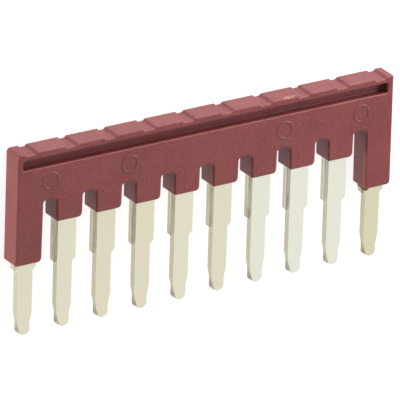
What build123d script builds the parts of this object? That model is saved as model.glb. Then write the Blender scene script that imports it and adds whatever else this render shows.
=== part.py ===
from build123d import *
import os
from math import acos, cos, radians, sin, tan

# Plug-in jumper bar: a moulded comb-shaped housing round two stamped metal combs.
# The bar lies on its back face. X runs along the bar, the pins point to -Y,
# +Z is the front face with the levering groove. All sizes are in millimetres.

# Poles
POLE_COUNT = 10
PITCH = 5.2
END_MARGIN = 1.75            # from the last pole's axis to the bar's end wall, at the press face

# Housing, with depths measured down from the press face
BAR_THICKNESS = 2.8
BODY_DEPTH = 6.22            # press face to the top of the gaps between the legs
SHORT_LEG = 2.94             # length of an inner leg below the body
LONG_LEG = 7.48              # length of the two end legs below the body
LEG_WIDTH = 3.42             # at the top of the leg
LEG_DRAFT = 0.8              # degrees, on each side wall that faces a gap
END_DRAFT = 0.25             # degrees, on the two end walls, which widen towards the feet
GAP_CORNER_RADIUS = 0.42
FOOT_LEFT_RADIUS = 0.2       # foot corners of each leg, towards the first pole
FOOT_RIGHT_RADIUS = 0.5      # and towards the last
END_LEFT_RADIUS = 0.45       # upper corner of the bar, at the first pole
END_RIGHT_RADIUS = 0.18      # and at the last
EDGE_BEVEL = 0.15            # all round the front and back outline

# Shallow dips in the press face, one over each pole. The left wall is upright and slants
# across the bar, the right one is a gentle S-curve.
DIP_DEPTH = 0.24
DIP_LEFT_BACK = 0.29         # pole's axis to the left wall, at the back face
DIP_LEFT_FRONT = 0.68        # and at the front face
DIP_RIGHT = 0.42             # pole's axis to the right end of the floor
DIP_FOOT_RADIUS = 0.34       # where the right wall leaves the floor
DIP_BROW_RADIUS = 0.36       # where it runs out into the press face

# Levering groove in the front face
GROOVE_TOP = 0.86            # its upper edge, below the press face
GROOVE_HEIGHT = 1.22
GROOVE_DEPTH = 1.08
GROOVE_END_WALL = 0.66
GROOVE_CORNER_RADIUS = 0.3
GROOVE_LIP_BEVEL = 0.1

# Ring-shaped ejector marks, raised on the front face
MARK_GAPS = (-4, -2, 2, 4)   # gaps counted from the middle one
MARK_DEPTH_DOWN = 3.93       # centre of a mark, below the press face
MARK_DIAMETER = 2.14
MARK_LINE_WIDTH = 0.16
MARK_LINE_HEIGHT = 0.05

# Metal combs: two mirrored stampings back to back
SHEET = 0.44                 # sheet thickness
PIN_REACH = 22.78            # press face to the pin tips
BLADE_WIDTH = 1.97
SHOULDER_STEP = 0.45         # extra width above the shoulder, on one side only
SHOULDER_BELOW_LEG = 0.78    # end leg's foot to the start of the shoulder
SHOULDER_DROP = 0.45
NECK_INSET = 0.25            # narrowing towards the tip, on the shoulder's side
NECK_START = 2.75            # above the tip
NECK_END = 1.6
LEAD_IN_WIDTH = 0.58         # curved lead-in, on the straight side
LEAD_IN_HEIGHT = 2.2
LEAD_IN_BULGE = 0.12         # how far its middle stands out from a straight line
LEAD_IN_BEND = 4.0
LEAD_IN_RADIUS = 0.45
TIP_RADIUS = 0.62
BEND_RADIUS = 0.35           # neck and shoulder corners
STRIP_BELOW_GROOVE = 0.55    # groove to the strip that joins the blades
STRIP_ABOVE_GAP = 0.5        # strip to the top of the gaps

# Moulding flash round the pins at the feet of the two end legs, as (distance from the
# pole's axis towards the bar's middle, drop below the foot)
FLASH_WALL = 0.05            # its skin over the metal
FLASH_SMOOTH = ((0.2, 0.12), (1.2, 0.3))
FLASH_RAGGED = ((0.45, 0.3), (0.8, 0.66), (1.12, 0.6), (1.34, 0.42))

CLOSE = 0.001                # two places nearer than this are the same

# Derived places
bar_length = (POLE_COUNT - 1) * PITCH + 2 * END_MARGIN
half_length = bar_length / 2
poles = [(index - (POLE_COUNT - 1) / 2) * PITCH for index in range(POLE_COUNT)]
press_face = PIN_REACH / 2
short_foot = BODY_DEPTH + SHORT_LEG
long_foot = BODY_DEPTH + LONG_LEG
shoulder = long_foot + SHOULDER_BELOW_LEG
mid_plane = BAR_THICKNESS / 2


def down(depth):
    """Y coordinate of a depth below the press face."""
    return press_face - depth


def drafted(length, draft):
    """How far a draft in degrees moves a side wall over a length."""
    return length * tan(radians(draft))


def end_wall(depth):
    """Distance of the two end walls from the bar's middle at a depth."""
    return half_length + drafted(depth, END_DRAFT)


def leg_corners(index):
    """Corners of one leg, which overlaps the body down to the top of the gaps."""
    at_left_end, at_right_end = index == 0, index == POLE_COUNT - 1
    foot = long_foot if at_left_end or at_right_end else short_foot
    setback = drafted(foot - BODY_DEPTH, LEG_DRAFT)
    left, right = poles[index] - LEG_WIDTH / 2, poles[index] + LEG_WIDTH / 2
    left_foot, right_foot = left + setback, right - setback
    if at_left_end:
        left, left_foot = -end_wall(BODY_DEPTH), -end_wall(foot)
    if at_right_end:
        right, right_foot = end_wall(BODY_DEPTH), end_wall(foot)
    root_level, foot_level = down(BODY_DEPTH), down(foot)
    return [(left, root_level), (left_foot, foot_level), (right_foot, foot_level), (right, root_level)]


def dip_wall():
    """The gentle wall's two arcs: run of the lower, run of the upper, and height of the lower."""
    turn = acos(1 - DIP_DEPTH / (DIP_FOOT_RADIUS + DIP_BROW_RADIUS))
    return DIP_FOOT_RADIUS * sin(turn), DIP_BROW_RADIUS * sin(turn), DIP_FOOT_RADIUS * (1 - cos(turn))


def comb_outline(step_side):
    """Flat outline of one comb, with its shoulders on the step_side (+1 or -1) of each blade."""
    strip_top = GROOVE_TOP + GROOVE_HEIGHT + STRIP_BELOW_GROOVE
    strip_bottom = BODY_DEPTH - STRIP_ABOVE_GAP
    half = BLADE_WIDTH / 2
    bulge = -half + LEAD_IN_WIDTH / 2 - LEAD_IN_BULGE
    blade = [
        ((-half, strip_top), 0),
        ((-half, PIN_REACH - LEAD_IN_HEIGHT), LEAD_IN_BEND),
        ((bulge, PIN_REACH - LEAD_IN_HEIGHT / 2), LEAD_IN_BEND),
        ((-half + LEAD_IN_WIDTH, PIN_REACH), LEAD_IN_RADIUS),
        ((half - NECK_INSET, PIN_REACH), TIP_RADIUS),
        ((half - NECK_INSET, PIN_REACH - NECK_END), BEND_RADIUS),
        ((half, PIN_REACH - NECK_START), BEND_RADIUS),
        ((half, shoulder + SHOULDER_DROP), BEND_RADIUS / 2),
        ((half + SHOULDER_STEP, shoulder), BEND_RADIUS / 2),
        ((half + SHOULDER_STEP, strip_top), 0),
    ]
    with BuildSketch() as outline:
        with Locations((0, down((strip_top + strip_bottom) / 2))):
            Rectangle(poles[-1] - poles[0], strip_bottom - strip_top)
        for pole in poles:
            with BuildLine():
                FilletPolyline(
                    *[(pole + step_side * across, down(depth)) for (across, depth), _ in blade],
                    radius=[radius for _, radius in blade],
                    close=True,
                )
            make_face()
    return outline.sketch


def flash_corners(pole, inward, tips):
    """Corners of the flash under one end leg; inward (+1 or -1) points to the bar's middle."""
    reach = BLADE_WIDTH / 2 + SHOULDER_STEP + FLASH_WALL
    root = long_foot - FOOT_RIGHT_RADIUS
    first, last = tips[0], tips[-1]
    outline = [(first[0], root), *[(across, long_foot + drop) for across, drop in tips]]
    outline += [(reach, long_foot + last[1] / 2), (reach, root)]
    return [(pole + inward * across, down(depth)) for across, depth in outline]


# Two combs meet face to face in the middle of the bar's thickness
with BuildPart() as rear_comb:
    with BuildSketch(Plane.XY.offset(mid_plane - SHEET)):
        add(comb_outline(step_side=-1))
    extrude(amount=SHEET)

with BuildPart() as front_comb:
    with BuildSketch(Plane.XY.offset(mid_plane)):
        add(comb_outline(step_side=1))
    extrude(amount=SHEET)

with BuildPart() as housing:
    with BuildSketch() as outline:
        top, bottom = end_wall(0), end_wall(BODY_DEPTH)
        body = [(-top, 0), (top, 0), (bottom, BODY_DEPTH), (-bottom, BODY_DEPTH)]
        Polygon(*[(across, down(depth)) for across, depth in body], align=None)
        for index in range(POLE_COUNT):
            Polygon(*leg_corners(index), align=None)

        # Corners at each level alternate between the left and the right side of a leg
        for depth, left_radius, right_radius in (
            (0, END_LEFT_RADIUS, END_RIGHT_RADIUS),
            (BODY_DEPTH, GAP_CORNER_RADIUS, GAP_CORNER_RADIUS),
            (short_foot, FOOT_LEFT_RADIUS, FOOT_RIGHT_RADIUS),
            (long_foot, FOOT_LEFT_RADIUS, FOOT_RIGHT_RADIUS),
        ):
            level = down(depth)
            for first, radius in ((0, left_radius), (1, right_radius)):
                at_level = outline.vertices().filter_by(lambda corner: abs(corner.Y - level) < CLOSE)
                fillet(at_level.sort_by(Axis.X)[first::2], radius)

    extrude(amount=BAR_THICKNESS)

    # Dips, and the wedges that slant their left walls
    foot_run, brow_run, rise = dip_wall()
    with BuildSketch():
        for pole in poles:
            corner = (pole - DIP_LEFT_BACK, down(DIP_DEPTH))
            floor_end = (pole + DIP_RIGHT, down(DIP_DEPTH))
            joint = (floor_end[0] + foot_run, down(DIP_DEPTH - rise))
            brow = (joint[0] + brow_run, down(0))
            with BuildLine():
                TangentArc(floor_end, joint, tangent=(1, 0))
                TangentArc(brow, joint, tangent=(-1, 0))
                Polyline(brow, (corner[0], down(0)), corner, floor_end)
            make_face()
    extrude(amount=BAR_THICKNESS, mode=Mode.SUBTRACT)
    with BuildSketch(Plane.XZ.offset(-press_face)):
        for pole in poles:
            back, front = pole - DIP_LEFT_BACK, pole - DIP_LEFT_FRONT
            Polygon((back, 0), (back, BAR_THICKNESS), (front, BAR_THICKNESS), align=None)
    extrude(amount=DIP_DEPTH, mode=Mode.SUBTRACT)
    chamfer(housing.faces().filter_by(Axis.Z).edges(), EDGE_BEVEL)

    # Levering groove, with a softened mouth
    front_face = Plane.XY.offset(BAR_THICKNESS)
    with BuildSketch(front_face):
        with Locations((0, down(GROOVE_TOP + GROOVE_HEIGHT / 2))):
            RectangleRounded(bar_length - 2 * GROOVE_END_WALL, GROOVE_HEIGHT, GROOVE_CORNER_RADIUS)
    extrude(amount=-GROOVE_DEPTH, mode=Mode.SUBTRACT)
    chamfer(housing.faces().sort_by(Axis.Z)[-1].inner_wires().edges(), GROOVE_LIP_BEVEL)

    # Ejector marks
    with BuildSketch(front_face):
        with Locations(*[(gap * PITCH, down(MARK_DEPTH_DOWN)) for gap in MARK_GAPS]):
            Circle(MARK_DIAMETER / 2)
            Circle(MARK_DIAMETER / 2 - MARK_LINE_WIDTH, mode=Mode.SUBTRACT)
    extrude(amount=MARK_LINE_HEIGHT)

    # Flash on the inner side of the end pins
    with BuildSketch(Plane.XY.offset(mid_plane)):
        Polygon(*flash_corners(poles[0], 1, FLASH_SMOOTH), align=None)
        Polygon(*flash_corners(poles[-1], -1, FLASH_RAGGED), align=None)
    extrude(amount=SHEET + FLASH_WALL, both=True)

    # The metal is moulded in, so its seat is the combs' own shape
    add(rear_comb.part, mode=Mode.SUBTRACT)
    add(front_comb.part, mode=Mode.SUBTRACT)

os.makedirs("parts", exist_ok=True)
for name, piece in (("housing", housing), ("front_comb", front_comb), ("rear_comb", rear_comb)):
    piece.part.label = name
    export_step(piece.part, f"parts/{name}.step")
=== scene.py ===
"""Looks of a ten-pole plug-in jumper bar that lies on its back on a pale floor.

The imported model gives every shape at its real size. This file dresses it: dusty red moulded
polyamide on the comb-shaped housing, matt tin plate on the two stamped combs, a soft studio
and the camera of the photograph.
"""
import logging
import math
from dataclasses import dataclass
from enum import Enum

import bpy
from mathutils import Matrix, Vector


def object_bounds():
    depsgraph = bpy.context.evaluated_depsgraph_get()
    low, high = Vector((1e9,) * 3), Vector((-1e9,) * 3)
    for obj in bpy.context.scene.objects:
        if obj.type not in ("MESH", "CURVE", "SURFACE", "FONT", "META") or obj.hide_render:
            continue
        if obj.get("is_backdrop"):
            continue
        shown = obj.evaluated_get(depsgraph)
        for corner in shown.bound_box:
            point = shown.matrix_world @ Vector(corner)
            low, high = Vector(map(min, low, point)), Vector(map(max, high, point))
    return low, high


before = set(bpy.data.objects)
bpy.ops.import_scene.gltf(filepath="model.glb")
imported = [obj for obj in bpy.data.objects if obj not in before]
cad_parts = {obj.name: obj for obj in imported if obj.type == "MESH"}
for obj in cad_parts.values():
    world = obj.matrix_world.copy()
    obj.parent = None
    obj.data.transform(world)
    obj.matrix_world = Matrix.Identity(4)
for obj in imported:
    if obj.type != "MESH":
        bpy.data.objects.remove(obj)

log = logging.getLogger("jumper_bar")

MM = 0.001
PHOTO_PX = 400


class Node(Enum):
    """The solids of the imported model."""

    HOUSING = "housing"
    FRONT_COMB = "front_comb"
    REAR_COMB = "rear_comb"


def linear(hex_colour: str) -> tuple[float, float, float, float]:
    """Turns an sRGB hex colour into linear RGBA.

    Args:
        hex_colour: Six hex digits with a leading hash.

    Returns:
        Red, green, blue and an alpha of 1, as shader sockets take them.
    """
    channels = [int(hex_colour[place:place + 2], 16) / 255 for place in (1, 3, 5)]
    # the standard's own curve, straight near black
    toned = [c / 12.92 if c <= 0.04045 else ((c + 0.055) / 1.055) ** 2.4 for c in channels]
    return (*toned, 1.0)


def add_node(
    tree: bpy.types.NodeTree,
    kind: str,
    settings: dict | None = None,
    links: dict | None = None,
) -> bpy.types.Node:
    """Adds one shader node with its settings and incoming links.

    Args:
        tree: The node tree that gets the node.
        kind: Blender's type name of the node.
        settings: Values by socket name, socket number or property name.
        links: Output sockets by the name or number of the input that they feed.

    Returns:
        The new node.
    """
    node = tree.nodes.new(kind)
    for name, value in (settings or {}).items():
        if isinstance(name, int) or name in node.inputs:
            node.inputs[name].default_value = value
        else:
            setattr(node, name, value)
    for name, source in (links or {}).items():
        tree.links.new(source, node.inputs[name])
    return node


def new_material(name: str) -> tuple[bpy.types.Material, bpy.types.NodeTree, bpy.types.Node]:
    """Makes an empty node material.

    Args:
        name: The material's name.

    Returns:
        The material, its node tree and its output node.
    """
    material = bpy.data.materials.new(name)
    material.use_nodes = True
    material.node_tree.nodes.clear()
    output = add_node(material.node_tree, "ShaderNodeOutputMaterial")
    return material, material.node_tree, output


def dress(node: Node, material: bpy.types.Material) -> bpy.types.Object:
    """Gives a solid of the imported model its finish.

    Args:
        node: The solid.
        material: Its finish.

    Returns:
        The solid's object.
    """
    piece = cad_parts[node.value]
    piece.data.materials.clear()
    piece.data.materials.append(material)
    return piece


@dataclass(frozen=True)
class Scuff:
    """A faint mark on the moulded body, broken up by the grain.

    Attributes:
        centre_mm: Its middle.
        reach_mm: How far it reaches from there along X, Y and Z.
        colour: The colour that it tends to.
        strength: How strongly, from 0 to 1.
    """

    centre_mm: tuple[float, float, float]
    reach_mm: tuple[float, float, float]
    colour: str
    strength: float


@dataclass(frozen=True)
class MouldedPolyamide:
    """Polyamide moulded in a spark-eroded tool: dusty red, matt, with a fine even grain and painted shade in
    its hollows.

    Attributes:
        name: The material's name.
        colour: The mean colour.
        pale_colour: The colour of the palest grains.
        deep_colour: The colour of the deepest grains.
        tone_span: Noise values at which the deepest and the palest colour are reached.
        scuffs: Marks left by handling.
        scuff_break: Grain values between which a scuff sets in.
        scuff_core: Share of a scuff's reach over which it doesn't fade.
        edge_radius_mm: Radius of the rounding that the tool leaves on the bevels.
        edge_samples: How many rays feel for an edge.
        cloud_mm: Size of the faint clouds in the colour.
        grain_mm: Size of the grain.
        grain_share: How much of the colour's spread is grain, the rest being clouds.
        grain_height_mm: Height of the grain.
        roughness: Mean roughness.
        roughness_spread: How far the grain moves it up and down.
        refraction: Refractive index.
        groove_reach_mm: How deep a hollow has to be to get the full painted shade.
        groove_shade: What the painted shade at the bottom of a hollow keeps of the colour.
        groove_samples: How many rays feel for a hollow.
        groove_openness: Share of free rays at which the shade is full and at which it ends.
    """

    name: str = "polyamide_moulded_dusty_red"
    colour: str = "#873634"
    pale_colour: str = "#944440"
    deep_colour: str = "#792927"
    tone_span: tuple[float, float] = (0.34, 0.66)
    scuffs: tuple[Scuff, ...] = (
        Scuff((11.0, 11.3, 2.6), (1.2, 0.3, 0.4), "#D9A184", 0.75),
        Scuff((10.6, 5.7, 2.8), (1.7, 0.8, 0.5), "#77504A", 0.5),
    )
    scuff_break: tuple[float, float] = (0.4, 0.6)
    scuff_core: float = 0.4
    edge_radius_mm: float = 0.16
    edge_samples: int = 8
    cloud_mm: float = 5.0
    grain_mm: float = 0.3
    grain_share: float = 0.65
    grain_height_mm: float = 0.006
    roughness: float = 0.42
    roughness_spread: float = 0.07
    refraction: float = 1.6
    groove_reach_mm: float = 1.1
    groove_shade: float = 0.5
    groove_samples: int = 8
    groove_openness: tuple[float, float] = (0.4, 0.75)

    def scuffed(
        self,
        tree: bpy.types.NodeTree,
        place: bpy.types.NodeSocket,
        grain: bpy.types.NodeSocket,
        colour: bpy.types.NodeSocket,
    ) -> bpy.types.NodeSocket:
        """Lays the scuffs over a colour.

        Args:
            tree: The material's node tree.
            place: The place on the body, in metres.
            grain: The grain, from 0 to 1.
            colour: The colour under the scuffs.

        Returns:
            The colour with the scuffs on it.
        """
        start, full = self.scuff_break
        broken = add_node(tree, "ShaderNodeMapRange", {"From Min": start, "From Max": full},
                          {"Value": grain})
        for scuff in self.scuffs:
            near = add_node(tree, "ShaderNodeMapping", {
                "vector_type": "TEXTURE",
                "Location": tuple(value * MM for value in scuff.centre_mm),
                "Scale": tuple(value * MM for value in scuff.reach_mm),
            }, {"Vector": place})
            away = add_node(tree, "ShaderNodeVectorMath", {"operation": "LENGTH"},
                            {0: near.outputs["Vector"]})
            inside = add_node(tree, "ShaderNodeMapRange", {
                "interpolation_type": "SMOOTHSTEP", "From Min": self.scuff_core, "From Max": 1.0,
                "To Min": scuff.strength, "To Max": 0.0,
            }, {"Value": away.outputs["Value"]})
            cover = add_node(tree, "ShaderNodeMath", {"operation": "MULTIPLY"},
                             {0: inside.outputs["Result"], 1: broken.outputs["Result"]})
            laid = add_node(tree, "ShaderNodeMix", {"data_type": "RGBA", 7: linear(scuff.colour)},
                            {0: cover.outputs[0], 6: colour})
            colour = laid.outputs[2]
        return colour

    def build(self) -> bpy.types.Material:
        """Builds the material.

        Returns:
            The finished material.
        """
        material, tree, output = new_material(self.name)
        place = add_node(tree, "ShaderNodeTexCoord").outputs["Object"]
        clouds = add_node(tree, "ShaderNodeTexNoise", {
            "Scale": 1 / (self.cloud_mm * MM), "Detail": 2.0, "Roughness": 0.5,
        }, {"Vector": place})
        # the grain is spark-eroded and finer than this in life; it is drawn coarse enough to show
        grain = add_node(tree, "ShaderNodeTexNoise", {
            "Scale": 1 / (self.grain_mm * MM), "Detail": 3.0, "Roughness": 0.6,
        }, {"Vector": place})
        mixed = add_node(tree, "ShaderNodeMath", {"operation": "MULTIPLY", 1: self.grain_share},
                         {0: grain.outputs["Fac"]})
        tone = add_node(tree, "ShaderNodeMath", {"operation": "MULTIPLY_ADD", 1: 1 - self.grain_share},
                        {0: clouds.outputs["Fac"], 2: mixed.outputs[0]})
        ramp = add_node(tree, "ShaderNodeValToRGB", links={"Fac": tone.outputs[0]})
        ramp.color_ramp.elements[0].position = self.tone_span[0]
        ramp.color_ramp.elements[0].color = linear(self.deep_colour)
        ramp.color_ramp.elements[1].position = self.tone_span[1]
        ramp.color_ramp.elements[1].color = linear(self.pale_colour)
        ramp.color_ramp.elements.new(0.5).color = linear(self.colour)
        # painted shade: narrow hollows are darkened in colour by how few rays get out of them
        hollow = add_node(tree, "ShaderNodeAmbientOcclusion", {
            "only_local": True, "samples": self.groove_samples, "Distance": self.groove_reach_mm * MM,
        })
        shut, free = self.groove_openness
        shade = add_node(tree, "ShaderNodeMapRange", {
            "From Min": shut, "From Max": free, "To Min": self.groove_shade, "To Max": 1.0,
        }, {"Value": hollow.outputs["AO"]})
        shaded = add_node(tree, "ShaderNodeVectorMath", {"operation": "SCALE"}, {
            0: self.scuffed(tree, place, grain.outputs["Fac"], ramp.outputs["Color"]),
            "Scale": shade.outputs["Result"],
        })
        rough = add_node(tree, "ShaderNodeMapRange", {
            "To Min": self.roughness - self.roughness_spread,
            "To Max": self.roughness + self.roughness_spread,
        }, {"Value": grain.outputs["Fac"]})
        # the tool's edges leave a small radius on every bevel
        rounded = add_node(tree, "ShaderNodeBevel", {
            "samples": self.edge_samples, "Radius": self.edge_radius_mm * MM,
        })
        bump = add_node(tree, "ShaderNodeBump", {
            "Strength": 1.0, "Distance": self.grain_height_mm * MM,
        }, {"Height": grain.outputs["Fac"], "Normal": rounded.outputs["Normal"]})
        shader = add_node(tree, "ShaderNodeBsdfPrincipled", {"IOR": self.refraction}, {
            "Base Color": shaded.outputs["Vector"],
            "Roughness": rough.outputs["Result"],
            "Normal": bump.outputs["Normal"],
        })
        tree.links.new(shader.outputs["BSDF"], output.inputs["Surface"])
        return material


@dataclass(frozen=True)
class TinPlatedCopper:
    """Stamped copper alloy with matt tin plate: pale, duller at the cut edges, with painted shade and light
    on the tips, corners and step between the leaves.

    Attributes:
        name: The material's name.
        poles: How many poles the bar has.
        warm_colour: The plate's tint on the first poles.
        neutral_colour: Its tint on the poles after them.
        straw_colour: Its tint on the last pole.
        neutral_from_pole: Index of the first neutral pole.
        straw_from_pole: Index of the first straw-coloured pole.
        dull_colour: What the rolling lines, and chance on each pole, multiply the tint by.
        sheared_colour: The edges that the punch cut, which carry less plate.
        sheared_slope: Share of the normal along Z up to which a face is sheared and from which it is rolled.
        tip_painted_shade_colour: Painted shade on the cut edges of the tips, standing in for the shadow
            between the leaves there.
        corner_painted_reflection_colour: Painted dark reflection on the rolled-over corners, which mirror
            the room's dark side.
        corner_slope: Share of the normal along Z on those corners.
        corner_spread: How far it may differ from that.
        recess_painted_light_colour: Painted light on the cut edges in the step between the leaves, where the
            step shades them.
        recess_reach_mm: How far the rays feel for the step that gets the painted light.
        recess_samples: How many rays feel for it.
        recess_openness: Share of free rays at which the painted light is full and at which it ends.
        joint_painted_shade_colour: Painted shade, in specks, on the faces on which the leaves meet, where
            the front leaf shades the back one.
        speck_span: Noise values between which a speck of the painted shade sets in.
        joint_mm: Height of those faces over the back of the bar.
        joint_half_mm: How far from that height a face still counts.
        tip_shade_span_mm: Places along Y between which the painted shade of the tips sets in.
        line_mm: Spacing of the rolling lines.
        line_length_mm: Their length.
        line_height_mm: Their height.
        pole_pitch_mm: Spacing of the poles.
        roughness: Roughness of the rolled faces.
        sheared_roughness: Roughness of the sheared edges.
    """

    name: str = "copper_strip_tin_plated_matt"
    poles: int = 10
    warm_colour: str = "#E0DBC7"
    neutral_colour: str = "#E6E7DB"
    straw_colour: str = "#D9D5B9"
    neutral_from_pole: int = 6
    straw_from_pole: int = 9
    dull_colour: str = "#F8F5EB"
    sheared_colour: str = "#CAC5AE"
    sheared_slope: tuple[float, float] = (0.35, 0.8)
    tip_painted_shade_colour: str = "#A8A18A"
    corner_painted_reflection_colour: str = "#A89B78"
    corner_slope: float = 0.65
    corner_spread: float = 0.3
    recess_painted_light_colour: str = "#FFFDF5"
    recess_reach_mm: float = 0.6
    recess_samples: int = 8
    recess_openness: tuple[float, float] = (0.7, 0.95)
    joint_painted_shade_colour: str = "#B3AC94"
    speck_span: tuple[float, float] = (0.5, 0.62)
    joint_mm: float = 1.4
    joint_half_mm: float = 0.02
    tip_shade_span_mm: tuple[float, float] = (-9.3, -10.8)
    line_mm: float = 0.09
    line_length_mm: float = 3.0
    line_height_mm: float = 0.0015
    pole_pitch_mm: float = 5.2
    roughness: float = 0.38
    sheared_roughness: float = 0.5

    def build(self) -> bpy.types.Material:
        """Builds the material.

        Returns:
            The finished material.
        """
        material, tree, output = new_material(self.name)
        place = add_node(tree, "ShaderNodeTexCoord").outputs["Object"]
        # rolling lines run along the blades; they are drawn coarser than in life, so that they show
        stretched = add_node(tree, "ShaderNodeMapping", {
            "Scale": (1 / (self.line_mm * MM), 1 / (self.line_length_mm * MM), 1 / (self.line_mm * MM)),
        }, {"Vector": place})
        lines = add_node(tree, "ShaderNodeTexNoise", {"Scale": 1.0, "Detail": 2.0, "Roughness": 0.6},
                         {"Vector": stretched.outputs["Vector"]})
        # the plate is warm on the first poles, neutral on later ones and straw-coloured on the last
        across = add_node(tree, "ShaderNodeSeparateXYZ", links={"Vector": place})
        pole = add_node(tree, "ShaderNodeMath", {
            "operation": "MULTIPLY_ADD", 1: 1 / (self.pole_pitch_mm * MM), 2: self.poles / 2,
        }, {0: across.outputs["X"]})
        along = add_node(tree, "ShaderNodeMath", {"operation": "DIVIDE", 1: float(self.poles)},
                         {0: pole.outputs[0]})
        tint = add_node(tree, "ShaderNodeValToRGB", links={"Fac": along.outputs[0]})
        tint.color_ramp.interpolation = "CONSTANT"
        tint.color_ramp.elements[0].color = linear(self.warm_colour)
        tint.color_ramp.elements[1].position = self.neutral_from_pole / self.poles
        tint.color_ramp.elements[1].color = linear(self.neutral_colour)
        tint.color_ramp.elements.new(self.straw_from_pole / self.poles).color = linear(self.straw_colour)
        index = add_node(tree, "ShaderNodeMath", {"operation": "FLOOR"}, {0: pole.outputs[0]})
        chance = add_node(tree, "ShaderNodeTexWhiteNoise", {"noise_dimensions": "1D"},
                          {"W": index.outputs[0]})
        dull = add_node(tree, "ShaderNodeMath", {"operation": "MULTIPLY"},
                        {0: lines.outputs["Fac"], 1: chance.outputs["Value"]})
        plate = add_node(tree, "ShaderNodeMix", {
            "data_type": "RGBA", "blend_type": "MULTIPLY", 7: linear(self.dull_colour),
        }, {0: dull.outputs[0], 6: tint.outputs["Color"]})
        # rolled faces look along Z, sheared edges across it
        facing = add_node(tree, "ShaderNodeSeparateXYZ",
                          links={"Vector": add_node(tree, "ShaderNodeNewGeometry").outputs["True Normal"]})
        flat = add_node(tree, "ShaderNodeMath", {"operation": "ABSOLUTE"}, {0: facing.outputs["Z"]})
        steep, level = self.sheared_slope
        sheared = add_node(tree, "ShaderNodeMapRange", {
            "From Min": steep, "From Max": level, "To Min": 1.0, "To Max": 0.0,
        }, {"Value": flat.outputs[0]})
        # painted shade: the cut edges darken towards the tips, standing in for the shadow between the leaves
        # there
        start, full = self.tip_shade_span_mm
        tip_shade = add_node(tree, "ShaderNodeMapRange", {"From Min": start * MM, "From Max": full * MM},
                        {"Value": across.outputs["Y"]})
        cut_with_tip_shade = add_node(tree, "ShaderNodeMix", {
            "data_type": "RGBA", 6: linear(self.sheared_colour), 7: linear(self.tip_painted_shade_colour),
        }, {0: tip_shade.outputs["Result"]})
        # painted light: the cut edges in the step between the leaves are paled where the step shades them
        open_air = add_node(tree, "ShaderNodeAmbientOcclusion", {
            "samples": self.recess_samples, "Distance": self.recess_reach_mm * MM,
        })
        shut, free = self.recess_openness
        recess = add_node(tree, "ShaderNodeMapRange", {
            "From Min": shut, "From Max": free, "To Min": 1.0, "To Max": 0.0,
        }, {"Value": open_air.outputs["AO"]})
        recess_lit = add_node(tree, "ShaderNodeMix", {"data_type": "RGBA", 7: linear(self.recess_painted_light_colour)},
                        {0: recess.outputs["Result"], 6: cut_with_tip_shade.outputs[2]})
        # painted shade: the faces on which the leaves meet, where the front leaf shades the back one, are
        # darkened in specks
        between = add_node(tree, "ShaderNodeMath", {
            "operation": "COMPARE", 1: self.joint_mm * MM, 2: self.joint_half_mm * MM,
        }, {0: across.outputs["Z"]})
        start, full = self.speck_span
        specks = add_node(tree, "ShaderNodeMapRange", {"From Min": start, "From Max": full},
                          {"Value": lines.outputs["Fac"]})
        joint_shade = add_node(tree, "ShaderNodeMath", {"operation": "MULTIPLY"},
                         {0: between.outputs[0], 1: specks.outputs["Result"]})
        joint_shaded = add_node(tree, "ShaderNodeMix", {"data_type": "RGBA", 7: linear(self.joint_painted_shade_colour)},
                           {0: joint_shade.outputs[0], 6: plate.outputs[2]})
        edged = add_node(tree, "ShaderNodeMix", {"data_type": "RGBA"},
                         {0: sheared.outputs["Result"], 6: joint_shaded.outputs[2], 7: recess_lit.outputs[2]})
        # painted dark reflection: the rolled-over corners are darkened to tan, for the dark side they mirror
        dark_corners = add_node(tree, "ShaderNodeMath", {
            "operation": "COMPARE", 1: self.corner_slope, 2: self.corner_spread,
        }, {0: flat.outputs[0]})
        colour = add_node(tree, "ShaderNodeMix", {"data_type": "RGBA", 7: linear(self.corner_painted_reflection_colour)},
                          {0: dark_corners.outputs[0], 6: edged.outputs[2]})
        rough = add_node(tree, "ShaderNodeMapRange", {
            "To Min": self.roughness, "To Max": self.sheared_roughness,
        }, {"Value": sheared.outputs["Result"]})
        bump = add_node(tree, "ShaderNodeBump", {
            "Strength": 1.0, "Distance": self.line_height_mm * MM,
        }, {"Height": lines.outputs["Fac"]})
        shader = add_node(tree, "ShaderNodeBsdfPrincipled", {"Metallic": 1.0}, {
            "Base Color": colour.outputs[2],
            "Roughness": rough.outputs["Result"],
            "Normal": bump.outputs["Normal"],
        })
        tree.links.new(shader.outputs["BSDF"], output.inputs["Surface"])
        return material


@dataclass(frozen=True)
class PaleFloorPaint:
    """Matt white floor over a light panel, which blows out to white where the light reaches it.

    Attributes:
        name: The material's name.
        albedo: Share of the light that the floor throws back on the bar.
        glow: What the panel under it adds to that.
        seen_albedo: Share that shows where the floor is seen, so that shadows stay faint.
        seen_glow: What the panel adds where the floor is seen.
    """

    name: str = "studio_floor_matt_white"
    albedo: float = 0.8
    glow: float = 0.2
    seen_glow: float = 0.82
    seen_albedo: float = 0.42

    def build(self) -> bpy.types.Material:
        """Builds the material.

        Returns:
            The finished material.
        """
        material, tree, output = new_material(self.name)
        sides = []
        for albedo, glow in ((self.albedo, self.glow), (self.seen_albedo, self.seen_glow)):
            paint = add_node(tree, "ShaderNodeBsdfDiffuse", {"Color": (albedo,) * 3 + (1.0,)})
            light = add_node(tree, "ShaderNodeEmission", {"Color": (1.0, 1.0, 1.0, 1.0), "Strength": glow})
            both = add_node(tree, "ShaderNodeAddShader", links={0: paint.outputs[0], 1: light.outputs[0]})
            sides.append(both.outputs[0])
        mix = add_node(tree, "ShaderNodeMixShader", links={0: looked_at(tree), 1: sides[0], 2: sides[1]})
        tree.links.new(mix.outputs[0], output.inputs["Surface"])
        return material


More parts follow.
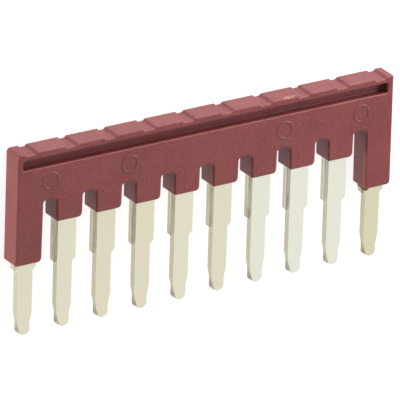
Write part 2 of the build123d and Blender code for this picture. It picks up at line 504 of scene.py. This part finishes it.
def looked_at(tree: bpy.types.NodeTree) -> bpy.types.NodeSocket:
    """Tells rays that see a surface from those that only light it.

    Args:
        tree: The node tree that gets the nodes.

    Returns:
        A socket that is 1 for camera, glossy and transmission rays and 0 for the others.
    """
    path = add_node(tree, "ShaderNodeLightPath")
    sharp = add_node(tree, "ShaderNodeMath", {"operation": "MAXIMUM"},
                     {0: path.outputs["Is Camera Ray"], 1: path.outputs["Is Glossy Ray"]})
    seen = add_node(tree, "ShaderNodeMath", {"operation": "MAXIMUM"},
                    {0: sharp.outputs[0], 1: path.outputs["Is Transmission Ray"]})
    return seen.outputs[0]


@dataclass(frozen=True)
class Softbox:
    """One area lamp that looks at the bar.

    Attributes:
        name: The lamp's name.
        towards: Direction from the bar to the lamp.
        distance_mm: Distance from the bar.
        width_mm: Its width.
        height_mm: Its height.
        power_w: Its power in watts.
        colour: Its colour.
    """

    name: str
    towards: tuple[float, float, float]
    distance_mm: float
    width_mm: float
    height_mm: float
    power_w: float
    colour: str

    def build(self) -> bpy.types.Object:
        """Adds the lamp.

        Returns:
            The lamp's object.
        """
        data = bpy.data.lights.new(self.name, "AREA")
        data.shape = "RECTANGLE"
        data.size = self.width_mm * MM
        data.size_y = self.height_mm * MM
        data.energy = self.power_w
        data.color = linear(self.colour)[:3]
        lamp = bpy.data.objects.new(self.name, data)
        direction = Vector(self.towards).normalized()
        lamp.location = direction * self.distance_mm * MM
        lamp.rotation_mode = "QUATERNION"
        lamp.rotation_quaternion = direction.to_track_quat("Z", "Y")
        bpy.context.scene.collection.objects.link(lamp)
        return lamp


@dataclass
class Studio:
    """Pale floor, a sky that brightens to one side, and three softboxes.

    Attributes:
        floor_side_mm: Edge length of the square floor.
        floor_gap_mm: How far the floor lies under the bar's back.
        sky_colour: Colour of the sky.
        sky_level: Mean level of the sky as a light.
        sky_slope: How much the sky brightens along X, Y and Z.
        seen_sky_level: Level of the sky where it is seen, directly or mirrored.
        dark_side: Direction of the room's unlit side, which only mirrored rays and edges show.
        dark_level: Level of the seen sky there.
        dark_cosines: Cosines of the angles from that direction where the dark starts and is full.
        softboxes: The lamps.
    """

    floor_side_mm: float = 6000.0
    floor_gap_mm: float = 0.01
    sky_colour: str = "#FFFFFF"
    sky_level: float = 0.5
    sky_slope: tuple[float, float, float] = (-0.07, -0.22, -0.22)
    seen_sky_level: float = 1.0
    dark_side: tuple[float, float, float] = (-0.85, -0.38, 0.38)
    dark_level: float = 0.2
    dark_cosines: tuple[float, float] = (0.8, 0.95)
    softboxes: tuple[Softbox, ...] = (
        Softbox("key_softbox", (0.2, 0.95, 0.1), 900.0, 500.0, 500.0, 7.3, "#FFFFFF"),
        Softbox("floor_level_strip", (-1.0, 0.0, 0.012), 900.0, 40.0, 16.0, 4.7, "#FFFFFF"),
        Softbox("near_fill", (0.8, 0.4, 0.45), 150.0, 80.0, 80.0, 0.15, "#FFFFFF"),
    )

    def build_floor(self) -> bpy.types.Object:
        """Lays the floor just under the bar's back.

        Returns:
            The floor's object.
        """
        half = self.floor_side_mm * MM / 2
        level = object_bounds()[0].z - self.floor_gap_mm * MM
        outline = [(-half, -half, level), (half, -half, level), (half, half, level), (-half, half, level)]
        mesh = bpy.data.meshes.new("floor")
        mesh.from_pydata(outline, [], [(0, 1, 2, 3)])
        mesh.materials.append(PaleFloorPaint().build())
        floor = bpy.data.objects.new("floor", mesh)
        bpy.context.scene.collection.objects.link(floor)
        floor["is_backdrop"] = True
        return floor

    def build_sky(self) -> bpy.types.World:
        """Makes the sky, which lights the bar from one side more and is seen white with one dark side.

        Returns:
            The world.
        """
        world = bpy.data.worlds.new("studio_sky")
        world.use_nodes = True
        tree = world.node_tree
        tree.nodes.clear()
        output = add_node(tree, "ShaderNodeOutputWorld")
        direction = add_node(tree, "ShaderNodeTexCoord").outputs["Generated"]
        slope = add_node(tree, "ShaderNodeVectorMath", {"operation": "DOT_PRODUCT", 1: self.sky_slope},
                         {0: direction})
        lit = add_node(tree, "ShaderNodeMath", {"operation": "ADD", 1: self.sky_level},
                       {0: slope.outputs["Value"]})
        level = add_node(tree, "ShaderNodeMath", {"operation": "MAXIMUM", 1: 0.0}, {0: lit.outputs[0]})
        light = add_node(tree, "ShaderNodeBackground", {"Color": linear(self.sky_colour)},
                         {"Strength": level.outputs[0]})
        nearness = add_node(tree, "ShaderNodeVectorMath", {
            "operation": "DOT_PRODUCT", 1: tuple(Vector(self.dark_side).normalized()),
        }, {0: direction})
        start, full = self.dark_cosines
        seen_level = add_node(tree, "ShaderNodeMapRange", {
            "interpolation_type": "SMOOTHSTEP", "From Min": start, "From Max": full,
            "To Min": self.seen_sky_level, "To Max": self.dark_level,
        }, {"Value": nearness.outputs["Value"]})
        seen = add_node(tree, "ShaderNodeBackground", {"Color": linear(self.sky_colour)},
                        {"Strength": seen_level.outputs["Result"]})
        mix = add_node(tree, "ShaderNodeMixShader", links={
            0: looked_at(tree), 1: light.outputs[0], 2: seen.outputs[0],
        })
        tree.links.new(mix.outputs[0], output.inputs["Surface"])
        bpy.context.scene.world = world
        return world

    def build(self) -> None:
        """Builds the whole studio."""
        self.build_floor()
        self.build_sky()
        for softbox in self.softboxes:
            softbox.build()
        log.info("studio: floor, sky and %d softboxes", len(self.softboxes))


@dataclass
class PhotoCamera:
    """The photograph's camera, carried over to the lying bar.

    Attributes:
        heading_deg: Turn about Z; 0 looks along +Y.
        elevation_deg: Height above the horizon.
        roll_deg: Turn of the picture, which shows the bar with its blades hanging down.
        target_mm: The point in the picture's centre.
        distance_mm: Distance from that point.
        focal_px: Focal length in pixels of the photograph.
        sensor_mm: Width of the camera's sensor.
        clip_mm: Distance beyond which nothing is drawn.
    """

    heading_deg: float = -128.967
    elevation_deg: float = 50.576
    roll_deg: float = 123.81
    target_mm: tuple[float, float, float] = (0.04, 0.305, 1.4)
    distance_mm: float = 930.27
    focal_px: float = 8135.65
    sensor_mm: float = 36.0
    clip_mm: float = 20000.0

    def build(self) -> bpy.types.Object:
        """Adds the camera and makes it the scene's.

        Returns:
            The camera's object.
        """
        data = bpy.data.cameras.new("photo_camera")
        data.sensor_width = self.sensor_mm
        data.lens = self.focal_px / PHOTO_PX * self.sensor_mm
        data.clip_end = self.clip_mm * MM
        camera = bpy.data.objects.new("photo_camera", data)
        heading, elevation = math.radians(self.heading_deg), math.radians(self.elevation_deg)
        turn = (
            Matrix.Rotation(heading, 4, "Z")
            @ Matrix.Rotation(math.pi / 2 - elevation, 4, "X")
            @ Matrix.Rotation(math.radians(self.roll_deg), 4, "Z")
        )
        back = turn.to_3x3() @ Vector((0, 0, 1))
        place = Vector(self.target_mm) * MM + back * self.distance_mm * MM
        camera.matrix_world = Matrix.Translation(place) @ turn
        bpy.context.scene.collection.objects.link(camera)
        bpy.context.scene.camera = camera
        log.info("camera at %s", [round(value, 4) for value in place])
        return camera


@dataclass
class Housing:
    """The moulded comb-shaped body.

    Attributes:
        finish: Its material.
    """

    finish: MouldedPolyamide = MouldedPolyamide()

    def build(self) -> bpy.types.Object:
        """Dresses the body.

        Returns:
            The body's object.
        """
        piece = dress(Node.HOUSING, self.finish.build())
        log.info("housing: %d faces", len(piece.data.polygons))
        return piece


@dataclass
class Combs:
    """The two stamped combs whose blades are the pins.

    Attributes:
        finish: Their material.
        edge_radius_mm: How far the sheared edges roll over.
        edge_segments: Facets across a rolled edge.
        edge_angle_deg: Angle from which an edge counts as sheared.
        weld_mm: Distance under which the facets' corners are joined first.
    """

    finish: TinPlatedCopper = TinPlatedCopper()
    edge_radius_mm: float = 0.05
    edge_segments: int = 2
    edge_angle_deg: float = 60.0
    weld_mm: float = 0.001

    def round_edges(self, piece: bpy.types.Object) -> None:
        """Rolls the sheared edges over, as stamping leaves them.

        Args:
            piece: The comb's object.
        """
        weld = piece.modifiers.new("join_facets", "WELD")
        weld.merge_threshold = self.weld_mm * MM
        bevel = piece.modifiers.new("rolled_edges", "BEVEL")
        bevel.width = self.edge_radius_mm * MM
        bevel.segments = self.edge_segments
        bevel.limit_method = "ANGLE"
        bevel.angle_limit = math.radians(self.edge_angle_deg)

    def build(self) -> list[bpy.types.Object]:
        """Dresses both combs.

        Returns:
            The combs' objects.
        """
        material = self.finish.build()
        pieces = [dress(node, material) for node in (Node.FRONT_COMB, Node.REAR_COMB)]
        for piece in pieces:
            self.round_edges(piece)
            log.info("%s: %d faces", piece.name, len(piece.data.polygons))
        return pieces


def main() -> None:
    """Builds the scene."""
    logging.basicConfig(level=logging.INFO, format="%(name)s: %(message)s")
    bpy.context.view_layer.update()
    bpy.context.scene.view_settings.view_transform = "Standard"
    PhotoCamera().build()
    Studio().build()
    Housing().build()
    Combs().build()


if __name__ == "__main__":
    main()
